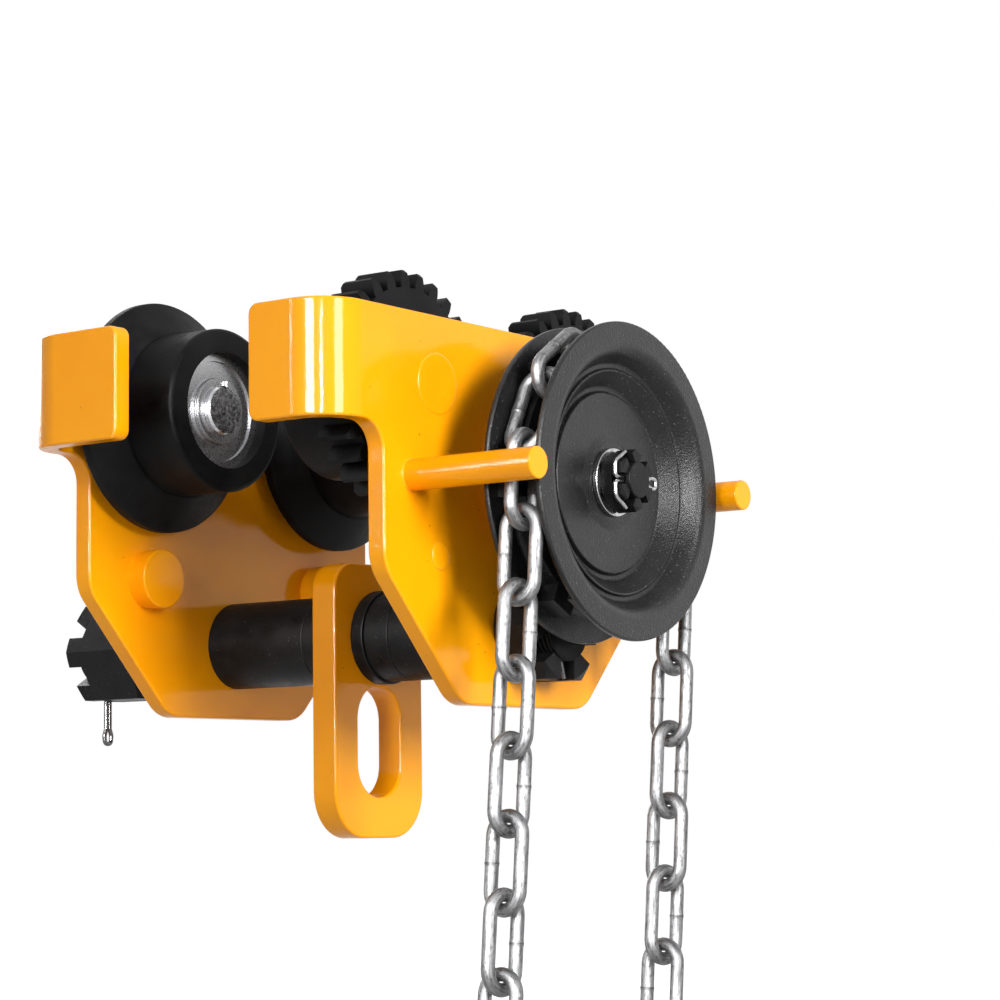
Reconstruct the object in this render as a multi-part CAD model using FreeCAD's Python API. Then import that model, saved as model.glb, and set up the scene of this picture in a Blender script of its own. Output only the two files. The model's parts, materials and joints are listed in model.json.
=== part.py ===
import FreeCAD
import Part
import math
import os

# Geared beam trolley: two bent side plates, four flanged rollers, a hand-chain drive and a load plate.
# Millimetres. +X runs along the beam, -Y is the hand-wheel side and +Z is up.
# The origin lies on the running surface, midway between the side plates and between the axles.
# Left is the -X end and right the +X end, as seen from the hand-wheel side.

V = FreeCAD.Vector
LEFT, RIGHT = -1, 1
FRONT, REAR = -1, 1
ENDS = {"left": LEFT, "right": RIGHT}

# Clearances
SNUG = 0.04             # radial gap of pressed, riveted and keyed seats
RUN = 0.08              # radial gap of running fits
SLIP = 0.4              # radial gap of parts that slide along the suspension shaft
FACE_GAP = 0.2          # gap between faces that run past each other
PIN_GAP = 0.35          # split pin leg to nut

# Side plates
PLATE_T = 8.0
PLATE_GAP = 142.0       # between the inner faces of the two plates
PLATE_TOP = 59.3
PLATE_FOOT = 30.5       # plate below the suspension shaft's axis
ROD_EDGE = 10.8         # plate beyond the chain guide rods
PLATE_FOOT_HALF = 41.0  # half width of the bottom edge, between the slanted corners
PLATE_SLANT_TOP = -38.4
PLATE_CORNER_R = 16.0
ARM_BOTTOM = 15.3
ARM_ROOT_R = 11.0
BUMPER_GAP = 9.3        # roller flange to bumper tab
FRONT_TAB_DEPTH = 39.0  # from the front plate's outer face to the ends of its bent tabs
REAR_TAB_DEPTH = 52.0
BEND_INNER_R = 10.6
TAB_CORNER_R = 4.0
EDGE_R = 1.0

# Rollers and their bearings
TREAD_R = 33.0
ROLLER_PAIR_GAP = 8.0   # half the gap between the flanges of a pair
ROLLER_GAP = 4.0        # plate to roller
GUIDE_W = 15.5          # width of the toothed rim, and of the plain flange with its cone
TREAD_W = 24.5
FLANGE_HEIGHT = 14.0
FLANGE_BACK = 2.0       # plain flange rim, set in from the roller's outer face
FLANGE_RIM_W = 4.5
FLANGE_ROOT_STEP = 1.0
HUB_R = 30.0
TREAD_EDGE_R = 2.0
RIM_CHAMFER = 1.2
BEARING_BORE_R = 10.0
BEARING_OUTER_R = 23.5
BEARING_INSET = 5.0     # bearing face, set in from the roller's inner face
RING_WALL = 2.8         # either ring behind the balls
BALL_COUNT = 8
BALL_GAP = 0.12
LAND_SINK = 0.45        # ring lands, set in from the balls' edges
CAGE_T = 1.4
CAGE_RIM = 1.13         # cage beside the balls' pockets
CAGE_GAP = 0.5          # cage to shield
SHIELD_T = 0.5
SHIELD_INSET = 0.8
AXLE_RIVET_R = 12.0
AXLE_SHOULDER = 1.0     # collar that holds the bearing's inner ring off the plate
AXLE_TIP = 4.0          # axle beyond the bearing
AXLE_CHAMFER = 0.8
CIRCLIP_T = 1.2
CIRCLIP_OUTER_R = 13.2
CIRCLIP_GROOVE_DEPTH = 0.8
CIRCLIP_MOUTH = 8.0

# Gear train
MODULE = 3.0
ROLLER_TEETH = 28
PINION_TEETH = 16
PRESSURE_ANGLE = math.radians(20.0)
ADDENDUM = 1.0
DEDENDUM = 1.25
TOOTH_THINNING = 0.4
PINION_FIRST_TOOTH = 90.0
PINION_INNER_MARGIN = 0.9

# Drive shaft
THRUST_WASHER_T = 1.6
THRUST_WASHER_R = 19.0
JOURNAL_R = 10.0
BUSH_WALL = 3.0
BOSS_R = 20.0
BOSS_SHOULDER = 3.0
BOSS_LENGTH = 20.0
HUB_SHOULDER = 1.0
KEY_SIZE = 5.0
KEY_LENGTH = 15.0
WASHER_R = 13.3
WASHER_T = 2.0
WASHER_EDGE = 0.4
HUB_THREAD_R = 7.0
HUB_THREAD_TIP = 0.9
HUB_NUT_AF = 21.0
HUB_NUT_H = 10.0
HUB_NUT_SLOT_SPARE = 1.0
HUB_NUT_SLOT_D = 5.0
HUB_PIN_WIRE_R = 0.85
HUB_PIN_EYE = 6.0
HUB_PIN_EYE_HALF_W = 2.1
HUB_PIN_EYE_SINK = 0.6
HUB_PIN_LEG = 8.0       # bent end of each leg, along the nut's next flat
HUB_NUT_TURN = 30.0

# Hand wheel, with distances measured forward from its rear rim face
WHEEL_RIM = 10.0        # rim beyond the chain's middle line
GROOVE_WALL = 2.75
WHEEL_REAR = 25.5       # rear rim face, out from the front plate's outer face
WHEEL_HUB_R = 20.0
WHEEL_HUB_GAP = 0.4     # hub to boss
GROOVE_RIM_T = 2.4
WHEEL_REAR_RECESS = 6.0
WHEEL_RECESS_WALL = 3.1
WHEEL_FACE_STEP = 1.75  # inner edge of the flat front rim, beyond the groove's floor
TERRACE_STEP = 2.3      # terrace, beyond the slot's floor
TERRACE_DROP = 5.4      # terrace, behind the front rim
TERRACE_VALLEY = 2.0
HUB_DISC_WALL = 6.1     # hub disc, within the slot's floor
HUB_DISC_DROP = 10.5
HUB_BOSS_R = 14.5
HUB_BOSS_RISE = 1.0
WHEEL_EDGE_R = 0.9
WHEEL_FILLET_R = 3.0
WHEEL_SHOULDER_R = 5.0  # rounding where the flat front rim dips into the dish
VALLEY_OUT = 2.4        # outer edge of a terrace's valley, beyond the terrace
VALLEY_IN = 0.6
VALLEY_OUT_R = 1.5
VALLEY_IN_R = 0.5
TERRACE_EDGE_R = 0.6
HUB_BOSS_SKIRT = 4.0    # width of the slope round the hub boss
POCKET_COUNT = 6
POCKET_TOOTH_HALF = 6.2
POCKET_TOOTH_RISE = 7.0
POCKET_TOOTH_ROOT = 0.6
POCKET_TOOTH_LAP = 0.25  # tooth's cut corner, behind the rounding of the groove's corner
SLOT_GAP = 0.5

# Hand chain
LINK_WIRE_R = 2.6
LINK_INNER_LENGTH = 28.8
LINK_INNER_WIDTH = 9.4
CHAIN_RUN_SLACK = 0.5
CHAIN_TURN_SLACK = 1.2
CHAIN_RUN_LINKS = 8
CHAIN_PHASE = 8.7       # degrees that the wheel has drawn the chain towards the left end
CHAIN_LEAN = 5.7        # degrees that the loop swings towards the left end
CHAIN_TWIST = 9.0       # degrees that the runs twist at mid length
CHAIN_SIDE_GAP = 0.35
WELD_SWELL = 0.22
WELD_HALF_W = 0.45

# Chain guide rods
ROD_R = 6.0
ROD_GAP = 3.7           # rod to hand wheel
ROD_REACH = 58.0
ROD_SHOULDER = 1.0
ROD_EDGE_R = 0.6

# Anti-tilt studs
STUD_HALF_SPACING = 54.0
STUD_Z = -32.7
STUD_R = 12.0
STUD_HEIGHT = 9.0
STUD_RIVET_R = 5.5
STUD_EDGE_R = 0.8

# Nuts and split pins, with a pin's eye in parts of its size and its bends in wire radii
NUT_CHAMFER = math.radians(30.0)
PIN_BEND = 1.6
PIN_EYE_SHOULDER = 0.45
PIN_EYE_TIP_WIDTH = 0.84

# Suspension shaft, spacers and nuts
SHAFT_R = 13.5
SHAFT_BELOW = 34.317    # suspension shaft's axis below the drive boss
SHAFT_TIP = 1.0
SPACER_WALL = 4.1
COLLAR_STEP = 1.0
COLLAR_W = 6.0
FRONT_RING_W = 12.0
REAR_RING_W = 14.0
SPARE_RING_W = 12.0
SPARE_RING_COUNT = 3
SPACER_EDGE = 0.5
NUT_AF = 41.0
FRONT_NUT_H = 20.0
REAR_NUT_H = 34.7
NUT_SLOT_SPARE = 5.0
NUT_SLOT_D = 8.0
NUT_PIN_WIRE_R = 1.0
NUT_PIN_EYE = 6.5
NUT_PIN_EYE_HALF_W = 2.1
NUT_PIN_SHORT = 0.6     # ends of the legs, within the nut's flat
REAR_PIN_DROP = 12.0    # eye of the rear pin, below the nut
FRONT_PIN_DROP = 3.0

# Load plate
LOAD_T = 12.0
LOAD_W = 56.5
LOAD_HEAD = 29.7        # plate above the shaft's axis
LOAD_FOOT = 16.35       # plate below the slot
LOAD_TOP_R = 12.0
LOAD_BOTTOM_R = 19.0
LOAD_SLOT_W = 27.3
LOAD_SLOT_H = 44.9
LOAD_WEB = 6.05         # slot below the shaft
LOAD_SIDE_GAP = 0.2

# Places worked out from the sizes above
INNER_FACE = PLATE_GAP / 2
OUTER_FACE = INNER_FACE + PLATE_T
AXLE_Z = TREAD_R
FLANGE_R = TREAD_R + FLANGE_HEIGHT
AXLE_HALF_SPACING = FLANGE_R + ROLLER_PAIR_GAP
AXLE_COLLAR_R = AXLE_RIVET_R + AXLE_SHOULDER
BUMPER_HALF_SPAN = AXLE_HALF_SPACING + FLANGE_R + BUMPER_GAP + PLATE_T
ROLLER_PITCH_R = MODULE * ROLLER_TEETH / 2
PINION_PITCH_R = MODULE * PINION_TEETH / 2
GEAR_CENTRES = ROLLER_PITCH_R + PINION_PITCH_R
DRIVE_Z = AXLE_Z - math.sqrt(GEAR_CENTRES ** 2 - AXLE_HALF_SPACING ** 2)
SHAFT_Z = DRIVE_Z - BOSS_R - SHAFT_BELOW
PLATE_BOTTOM = SHAFT_Z - PLATE_FOOT
ROLLER_W = GUIDE_W + TREAD_W
BALL_R = (BEARING_OUTER_R - BEARING_BORE_R) / 2 - RING_WALL
CAGE_HALF_W = BALL_R + BALL_GAP + CAGE_RIM
BEARING_W = 2 * (CAGE_HALF_W + CAGE_GAP + SHIELD_T + SHIELD_INSET)
BEARING_IN = ROLLER_GAP + ROLLER_W - BEARING_INSET - BEARING_W
BEARING_OUT = BEARING_IN + BEARING_W
BALL_PITCH_R = (BEARING_BORE_R + BEARING_OUTER_R) / 2
INNER_LAND_R = BALL_PITCH_R - BALL_R + LAND_SINK
OUTER_LAND_R = BALL_PITCH_R + BALL_R - LAND_SINK
BOSS_SPIGOT_R = BOSS_R - BOSS_SHOULDER
HUB_SEAT_R = JOURNAL_R - HUB_SHOULDER
HUB_NUT_SLOT_W = 4 * HUB_PIN_WIRE_R + HUB_NUT_SLOT_SPARE
LINK_HALF_WIDTH = LINK_INNER_WIDTH / 2 + 2 * LINK_WIRE_R
WHEEL_W = 2 * (LINK_HALF_WIDTH + CHAIN_SIDE_GAP + GROOVE_WALL)
TERRACE_DEPTH = WHEEL_W - TERRACE_DROP
HUB_DISC_DEPTH = WHEEL_W - HUB_DISC_DROP
WHEEL_REAR_Y = -OUTER_FACE - WHEEL_REAR
BOSS_END_Y = -OUTER_FACE - BOSS_LENGTH
HUB_FACE = HUB_DISC_DEPTH + HUB_BOSS_RISE
HUB_FACE_Y = WHEEL_REAR_Y - HUB_FACE
HUB_NUT_Y = HUB_FACE_Y - WASHER_T
HUB_NUT_END_Y = HUB_NUT_Y - HUB_NUT_H
CHAIN_Y = WHEEL_REAR_Y - WHEEL_W / 2
RUN_PITCH = LINK_INNER_LENGTH - CHAIN_RUN_SLACK
TURN_PITCH = LINK_INNER_LENGTH - CHAIN_TURN_SLACK
TURN_STEP = math.pi / (2 * POCKET_COUNT)
CHAIN_R = TURN_PITCH / (2 * math.tan(TURN_STEP))
JOINT_R = TURN_PITCH / (2 * math.sin(TURN_STEP))
CORE_R = CHAIN_R - LINK_WIRE_R - CHAIN_SIDE_GAP
SLOT_R = CHAIN_R - LINK_HALF_WIDTH - SLOT_GAP
WHEEL_R = CHAIN_R + WHEEL_RIM
WHEEL_REAR_RECESS_R = CORE_R - WHEEL_RECESS_WALL
WHEEL_FACE_R = CORE_R + WHEEL_FACE_STEP
TERRACE_R = SLOT_R + TERRACE_STEP
HUB_DISC_R = SLOT_R - HUB_DISC_WALL
ROD_HALF_SPACING = WHEEL_R + ROD_GAP + ROD_R
ROD_SPIGOT_R = ROD_R - ROD_SHOULDER
PLATE_HALF_WIDTH = ROD_HALF_SPACING + ROD_R + ROD_EDGE
SPACER_R = SHAFT_R + SLIP + SPACER_WALL
COLLAR_R = SPACER_R + COLLAR_STEP
NUT_SLOT_W = 4 * NUT_PIN_WIRE_R + NUT_SLOT_SPARE
FRONT_NUT_END_Y = -OUTER_FACE - FRONT_NUT_H
REAR_NUT_Y = OUTER_FACE + SPARE_RING_COUNT * SPARE_RING_W
REAR_NUT_END_Y = REAR_NUT_Y + REAR_NUT_H
LOAD_SEAT = LOAD_T / 2 + LOAD_SIDE_GAP
LOAD_TOP = SHAFT_Z + LOAD_HEAD
LOAD_SLOT_Z = SHAFT_Z - SHAFT_R - LOAD_WEB - LOAD_SLOT_H / 2
LOAD_BOTTOM = LOAD_SLOT_Z - LOAD_SLOT_H / 2 - LOAD_FOOT


def on_y(axis_x, axis_z):
    """Place a section drawn as (radius, y) in the plane through an axis along Y."""
    return lambda r, y: V(axis_x + r, y, axis_z)


def seen_from_front(y):
    """Place a section drawn as (x, z) in the plane at one y."""
    return lambda x, z: V(x, y, z)


def rounded_edges(corners, place, closed):
    """Straight edges and tangent arcs through (u, v, radius) corners."""
    count = len(corners)
    cuts = []
    for i, (u, v, radius) in enumerate(corners):
        here = V(u, v, 0)
        is_end = not closed and i in (0, count - 1)
        if radius <= 0 or is_end:
            cuts.append((here, None, here))
            continue
        before = corners[i - 1]
        after = corners[(i + 1) % count]
        back = V(before[0] - u, before[1] - v, 0).normalize()
        ahead = V(after[0] - u, after[1] - v, 0).normalize()
        half = back.getAngle(ahead) / 2
        bisector = (back + ahead).normalize()
        middle = here + bisector * (radius / math.sin(half) - radius)
        reach = radius / math.tan(half)
        cuts.append((here + back * reach, middle, here + ahead * reach))
    edges = []
    for i, (start, middle, end) in enumerate(cuts):
        if middle is not None:
            through = [place(point.x, point.y) for point in (start, middle, end)]
            edges.append(Part.Arc(*through).toShape())
        if i == count - 1 and not closed:
            break
        following = cuts[(i + 1) % count][0]
        if end.distanceToPoint(following) > 1e-6:
            straight = [place(point.x, point.y) for point in (end, following)]
            edges.append(Part.LineSegment(*straight).toShape())
    return edges


def rounded_face(corners, place):
    """Flat face inside a closed outline of (u, v, radius) corners."""
    return Part.Face(Part.Wire(rounded_edges(corners, place, True)))


def turned(corners, axis_x, axis_z):
    """Solid of revolution about an axis along Y, from (radius, y, fillet) corners."""
    section = rounded_face(corners, on_y(axis_x, axis_z))
    return section.revolve(V(axis_x, 0, axis_z), V(0, 1, 0), 360)


def rod_y(radius, y0, y1, x, z):
    """Round bar along Y."""
    return Part.makeCylinder(radius, abs(y1 - y0), V(x, min(y0, y1), z), V(0, 1, 0))


def ring_y(outer_r, inner_r, y0, y1, x, z, edge=0.0):
    """Turned ring along Y with the same small round on all its edges."""
    corners = [(inner_r, y0, 0), (outer_r, y0, edge), (outer_r, y1, edge), (inner_r, y1, 0)]
    return turned(corners, x, z)


def bent_wire(corners, place, wire_r):
    """Round wire along an open path of (u, v, radius) corners."""
    path = Part.Wire(rounded_edges(corners, place, False))
    start = path.Edges[0]
    at = start.FirstParameter
    profile = Part.Wire(Part.makeCircle(wire_r, start.valueAt(at), start.tangentAt(at)))
    return path.makePipeShell([profile], True, False)


def save(name, *solids):
    """Write one node, a single solid or a group of like solids."""
    shape = solids[0] if len(solids) == 1 else Part.makeCompound(list(solids))
    shape.exportStep("parts/" + name + ".step")


def inset(side, s):
    """Y at a distance s inward from the inner face of the plate on one side."""
    return side * (INNER_FACE - s)


def side_plate(side):
    """Plate with bumper tabs bent inward at both ends, holes left out."""
    outer = side * OUTER_FACE
    inner = side * INNER_FACE
    depth = FRONT_TAB_DEPTH if side == FRONT else REAR_TAB_DEPTH
    tab_end = side * (OUTER_FACE - depth)
    tab_x = BUMPER_HALF_SPAN - PLATE_T
    bend_outer_r = BEND_INNER_R + PLATE_T
    plan = [
        (-BUMPER_HALF_SPAN, outer, bend_outer_r), (BUMPER_HALF_SPAN, outer, bend_outer_r),
        (BUMPER_HALF_SPAN, tab_end, 0), (tab_x, tab_end, 0),
        (tab_x, inner, BEND_INNER_R), (-tab_x, inner, BEND_INNER_R),
        (-tab_x, tab_end, 0), (-BUMPER_HALF_SPAN, tab_end, 0),
    ]
    strip = rounded_face(plan, lambda x, y: V(x, y, PLATE_BOTTOM))
    folded = strip.extrude(V(0, 0, PLATE_TOP - PLATE_BOTTOM))
    half = [
        (BUMPER_HALF_SPAN, PLATE_TOP, 0), (BUMPER_HALF_SPAN, ARM_BOTTOM, 0),
        (PLATE_HALF_WIDTH, ARM_BOTTOM, ARM_ROOT_R), (PLATE_HALF_WIDTH, PLATE_SLANT_TOP, PLATE_CORNER_R),
        (PLATE_FOOT_HALF, PLATE_BOTTOM, PLATE_CORNER_R),
    ]
    outline = half + [(-x, z, r) for x, z, r in reversed(half)]
    blank = rounded_face(outline, seen_from_front(outer)).extrude(V(0, -side * depth, 0))
    plate = folded.common(blank).removeSplitter()
    tab_corners = [e for e in plate.Edges if is_tab_corner(e, tab_end)]
    plate = plate.makeFillet(TAB_CORNER_R, tab_corners)
    return plate.makeFillet(EDGE_R, plate.Edges)


def is_tab_corner(edge, tab_end):
    """Whether an edge is a corner of a bumper tab's free end."""
    box = edge.BoundBox
    return abs(box.Center.y - tab_end) < 1e-3 and box.YLength < 1e-3 and box.ZLength < 1e-3


def drilled_plate(side):
    """Side plate with the holes for everything that it carries."""
    holes = [(end * AXLE_HALF_SPACING, AXLE_Z, AXLE_RIVET_R + SNUG) for end in ENDS.values()]
    holes += [(end * STUD_HALF_SPACING, STUD_Z, STUD_RIVET_R + SNUG) for end in ENDS.values()]
    holes.append((0, SHAFT_Z, SHAFT_R + SLIP))
    if side == FRONT:
        holes += [(end * ROD_HALF_SPACING, DRIVE_Z, ROD_SPIGOT_R + SNUG) for end in ENDS.values()]
        holes.append((0, DRIVE_Z, BOSS_SPIGOT_R + SNUG))
    plate = side_plate(side)
    for x, z, radius in holes:
        plate = plate.cut(rod_y(radius, side * INNER_FACE, side * OUTER_FACE, x, z))
    return plate


def involute(base_r, radius):
    """Polar angle of the involute of a base circle at one radius."""
    ratio = math.sqrt(max((radius / base_r) ** 2 - 1, 0))
    return ratio - math.atan(ratio)


def gear_prism(teeth, first_tooth, x, z, y0, y1):
    """Spur gear along Y with involute flanks, its first tooth at an angle in degrees from +X towards +Z."""
    pitch_r = MODULE * teeth / 2
    base_r = pitch_r * math.cos(PRESSURE_ANGLE)
    root_r = pitch_r - DEDENDUM * MODULE
    tip_r = pitch_r + ADDENDUM * MODULE
    thickness = math.pi * MODULE / 2 - TOOTH_THINNING
    half_at_base = thickness / (2 * pitch_r) + involute(base_r, pitch_r)
    start_r = max(base_r, root_r)
    samples = 7
    radii = [start_r + (tip_r - start_r) * i / (samples - 1) for i in range(samples)]
    edges = []

    def at(radius, angle):
        return V(x + radius * math.cos(angle), y0, z + radius * math.sin(angle))

    step = 2 * math.pi / teeth
    for k in range(teeth):
        centre = math.radians(first_tooth) + k * step
        rising = [at(r, centre - half_at_base + involute(base_r, r)) for r in radii]
        falling = [at(r, centre + half_at_base - involute(base_r, r)) for r in reversed(radii)]
        root_in = at(root_r, centre - half_at_base)
        root_out = at(root_r, centre + half_at_base)
        next_in = at(root_r, centre + step - half_at_base)
        if root_in.distanceToPoint(rising[0]) > 1e-6:
            edges.append(Part.LineSegment(root_in, rising[0]).toShape())
        for flank in (rising, falling):
            curve = Part.BSplineCurve()
            curve.interpolate(flank)
            edges.append(curve.toShape())
            if flank is rising:
                edges.append(Part.Arc(rising[-1], at(tip_r, centre), falling[0]).toShape())
        if root_out.distanceToPoint(falling[-1]) > 1e-6:
            edges.append(Part.LineSegment(falling[-1], root_out).toShape())
        edges.append(Part.Arc(root_out, at(root_r, centre + step / 2), next_in).toShape())
    return Part.Face(Part.Wire(edges)).extrude(V(0, y1 - y0, 0))


def roller_first_tooth(end):
    """Angle of a roller tooth that meshes with the pinion, in degrees."""
    toward = math.atan2(AXLE_Z - DRIVE_Z, end * AXLE_HALF_SPACING)
    pinion_arc = PINION_PITCH_R * (math.radians(PINION_FIRST_TOOTH) - toward)
    return math.degrees(toward + math.pi - (pinion_arc + math.pi * MODULE / 2) / ROLLER_PITCH_R)


def roller_bore(side, x):
    """Space inside a roller for the axle collar and the bearing."""
    start = inset(side, 0)
    seat = inset(side, BEARING_IN)
    end = inset(side, ROLLER_GAP + ROLLER_W)
    collar_space = rod_y(OUTER_LAND_R, start, end, x, AXLE_Z)
    return collar_space.fuse(rod_y(BEARING_OUTER_R + SNUG, seat, end, x, AXLE_Z))


def geared_roller(end):
    """Roller of the front side, whose toothed rim also guides the beam's edge."""
    x = end * AXLE_HALF_SPACING
    outer = inset(FRONT, ROLLER_GAP)
    guide = inset(FRONT, ROLLER_GAP + GUIDE_W)
    inner = inset(FRONT, ROLLER_GAP + ROLLER_W)
    tip_r = ROLLER_PITCH_R + ADDENDUM * MODULE
    chamfered = [
        (0, outer, 0), (tip_r - RIM_CHAMFER, outer, 0), (tip_r, outer + RIM_CHAMFER, 0),
        (tip_r, guide - RIM_CHAMFER, 0), (tip_r - RIM_CHAMFER, guide, 0), (0, guide, 0),
    ]
    rim = gear_prism(ROLLER_TEETH, roller_first_tooth(end), x, AXLE_Z, outer, guide)
    rim = rim.common(turned(chamfered, x, AXLE_Z))
    section = [(0, guide, 0), (TREAD_R, guide, 0), (TREAD_R, inner, TREAD_EDGE_R), (0, inner, 0)]
    tread = turned(section, x, AXLE_Z)
    return rim.fuse(tread).removeSplitter().cut(roller_bore(FRONT, x))


def plain_roller(end):
    """Roller of the rear side, with a coned guide flange."""
    x = end * AXLE_HALF_SPACING
    outer = ROLLER_GAP
    rim = outer + FLANGE_BACK
    cone = rim + FLANGE_RIM_W
    guide = outer + GUIDE_W
    inner = outer + ROLLER_W
    section = [
        (0, outer, 0), (HUB_R, outer, 0), (HUB_R, rim, 0), (FLANGE_R, rim, RIM_CHAMFER),
        (FLANGE_R, cone, RIM_CHAMFER), (TREAD_R + FLANGE_ROOT_STEP, guide, TREAD_EDGE_R),
        (TREAD_R, guide, 0), (TREAD_R, inner, TREAD_EDGE_R), (0, inner, 0),
    ]
    body = turned([(r, inset(REAR, s), fillet) for r, s, fillet in section], x, AXLE_Z)
    return body.cut(roller_bore(REAR, x))


def axle(side, end):
    """Stepped axle riveted flush into the side plate."""
    x = end * AXLE_HALF_SPACING
    tip = BEARING_OUT + AXLE_TIP
    groove_r = BEARING_BORE_R - CIRCLIP_GROOVE_DEPTH
    groove_in = BEARING_OUT + FACE_GAP / 2
    groove_out = groove_in + CIRCLIP_T + FACE_GAP
    journal_r = BEARING_BORE_R - SNUG
    section = [
        (0, -PLATE_T, 0), (AXLE_RIVET_R, -PLATE_T, 0), (AXLE_RIVET_R, 0, 0), (AXLE_COLLAR_R, 0, 0),
        (AXLE_COLLAR_R, BEARING_IN, 0), (journal_r, BEARING_IN, 0), (journal_r, groove_in, 0),
        (groove_r, groove_in, 0), (groove_r, groove_out, 0), (journal_r, groove_out, 0),
        (journal_r, tip - AXLE_CHAMFER, 0), (journal_r - AXLE_CHAMFER, tip, 0), (0, tip, 0),
    ]
    return turned([(r, inset(side, s), fillet) for r, s, fillet in section], x, AXLE_Z)


def axle_circlip(side, end):
    """Open ring in the axle's groove that keeps the bearing on."""
    x = end * AXLE_HALF_SPACING
    start = BEARING_OUT + FACE_GAP
    groove_r = BEARING_BORE_R - CIRCLIP_GROOVE_DEPTH + SNUG
    y0 = inset(side, start)
    y1 = inset(side, start + CIRCLIP_T)
    ring = ring_y(CIRCLIP_OUTER_R, groove_r, y0, y1, x, AXLE_Z)
    corner = V(x - CIRCLIP_MOUTH / 2, -INNER_FACE, AXLE_Z)
    return ring.cut(Part.makeBox(CIRCLIP_MOUTH, PLATE_GAP, CIRCLIP_OUTER_R, corner))


def bearing(side, end):
    """Deep-groove ball bearing: inner ring, outer ring, balls, cage and two shields."""
    x = end * AXLE_HALF_SPACING
    y0 = inset(side, BEARING_IN)
    y1 = inset(side, BEARING_OUT)
    middle = (y0 + y1) / 2
    race = Part.makeTorus(BALL_PITCH_R, BALL_R + BALL_GAP, V(x, middle, AXLE_Z), V(0, 1, 0))
    inner_ring = ring_y(INNER_LAND_R, BEARING_BORE_R, y0, y1, x, AXLE_Z).cut(race)
    outer_ring = ring_y(BEARING_OUTER_R, OUTER_LAND_R, y0, y1, x, AXLE_Z).cut(race)
    balls = []
    pockets = []
    for k in range(BALL_COUNT):
        angle = 2 * math.pi * k / BALL_COUNT
        outward = V(math.cos(angle), 0, math.sin(angle))
        hub = V(x, middle, AXLE_Z)
        balls.append(Part.makeSphere(BALL_R, hub + outward * BALL_PITCH_R))
        pockets.append(Part.makeCylinder(BALL_R + BALL_GAP, BALL_PITCH_R + CAGE_T, hub, outward))
    cage_outer_r = BALL_PITCH_R + CAGE_T / 2
    cage_inner_r = BALL_PITCH_R - CAGE_T / 2
    cage = ring_y(cage_outer_r, cage_inner_r, middle - CAGE_HALF_W, middle + CAGE_HALF_W, x, AXLE_Z)
    for pocket in pockets:
        cage = cage.cut(pocket)
    shields = []
    for face_s, direction in ((BEARING_IN, 1), (BEARING_OUT, -1)):
        s0 = face_s + direction * SHIELD_INSET
        near = inset(side, s0)
        far = inset(side, s0 + direction * SHIELD_T)
        shields.append(ring_y(OUTER_LAND_R - SNUG, INNER_LAND_R + FACE_GAP, near, far, x, AXLE_Z))
    return inner_ring, outer_ring, balls, cage, shields


def anti_tilt_stud(side, end):
    """Stud riveted into a plate, which stops the trolley from tipping under the flange."""
    section = [
        (0, -PLATE_T, 0), (STUD_RIVET_R, -PLATE_T, 0), (STUD_RIVET_R, 0, 0), (STUD_R, 0, 0),
        (STUD_R, STUD_HEIGHT, STUD_EDGE_R), (0, STUD_HEIGHT, 0),
    ]
    placed = [(r, inset(side, s), fillet) for r, s, fillet in section]
    return turned(placed, end * STUD_HALF_SPACING, STUD_Z)


def chain_guide(end):
    """Rod beside the hand wheel that keeps the chain in its groove."""
    tip = -OUTER_FACE - ROD_REACH
    section = [
        (0, -INNER_FACE, 0), (ROD_SPIGOT_R, -INNER_FACE, 0), (ROD_SPIGOT_R, -OUTER_FACE, 0),
        (ROD_R, -OUTER_FACE, 0), (ROD_R, tip, ROD_EDGE_R), (0, tip, 0),
    ]
    return turned(section, end * ROD_HALF_SPACING, DRIVE_Z)


def slotted_nut(af, height, slot_w, slot_d, bore_r, y_seat, y_end, z, turn=0):
    """Hexagon nut with slots across its flats at the outer end, and flats above and below before its turn."""
    corner_r = af / math.sqrt(3)
    direction = 1 if y_end > y_seat else -1
    corner = V(corner_r, y_seat, z)
    hub = V(0, y_seat, z)
    points = [hub + FreeCAD.Rotation(V(0, 1, 0), 60 * k).multVec(corner - hub) for k in range(7)]
    prism = Part.Face(Part.makePolygon(points)).extrude(V(0, direction * height, 0))
    chamfer = corner_r - af / 2
    rise = chamfer * math.tan(NUT_CHAMFER)
    round_off = turned([
        (0, y_seat, 0), (af / 2, y_seat, 0), (corner_r, y_seat + direction * rise, 0),
        (corner_r, y_end - direction * rise, 0), (af / 2, y_end, 0), (0, y_end, 0),
    ], 0, z)
    nut = prism.common(round_off).cut(rod_y(bore_r, y_seat, y_end, 0, z))
    slot_y = min(y_end, y_end - direction * slot_d)
    slot = Part.makeBox(slot_w, slot_d, 2 * corner_r, V(-slot_w / 2, slot_y, z - corner_r))
    for k in range(3):
        nut = nut.cut(slot.rotated(V(0, y_end, z), V(0, 1, 0), 60 * k))
    return nut.rotated(V(0, y_end, z), V(0, 1, 0), turn)


def split_pin(wire_r, eye_start, eye_size, eye_half, leg, place):
    """Split pin in one plane: an eye at +u, two legs side by side, and free ends given as (u, v, radius)."""
    lie = wire_r + SNUG
    loop_r = PIN_BEND * wire_r
    shoulder = eye_start + PIN_EYE_SHOULDER * eye_size
    upper = leg + [
        (eye_start, lie, loop_r), (shoulder, eye_half, loop_r),
        (eye_start + eye_size, PIN_EYE_TIP_WIDTH * eye_half, loop_r),
    ]
    lower = [(u, -v, r) for u, v, r in reversed(upper)]
    return bent_wire(upper + lower, place, wire_r)


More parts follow.
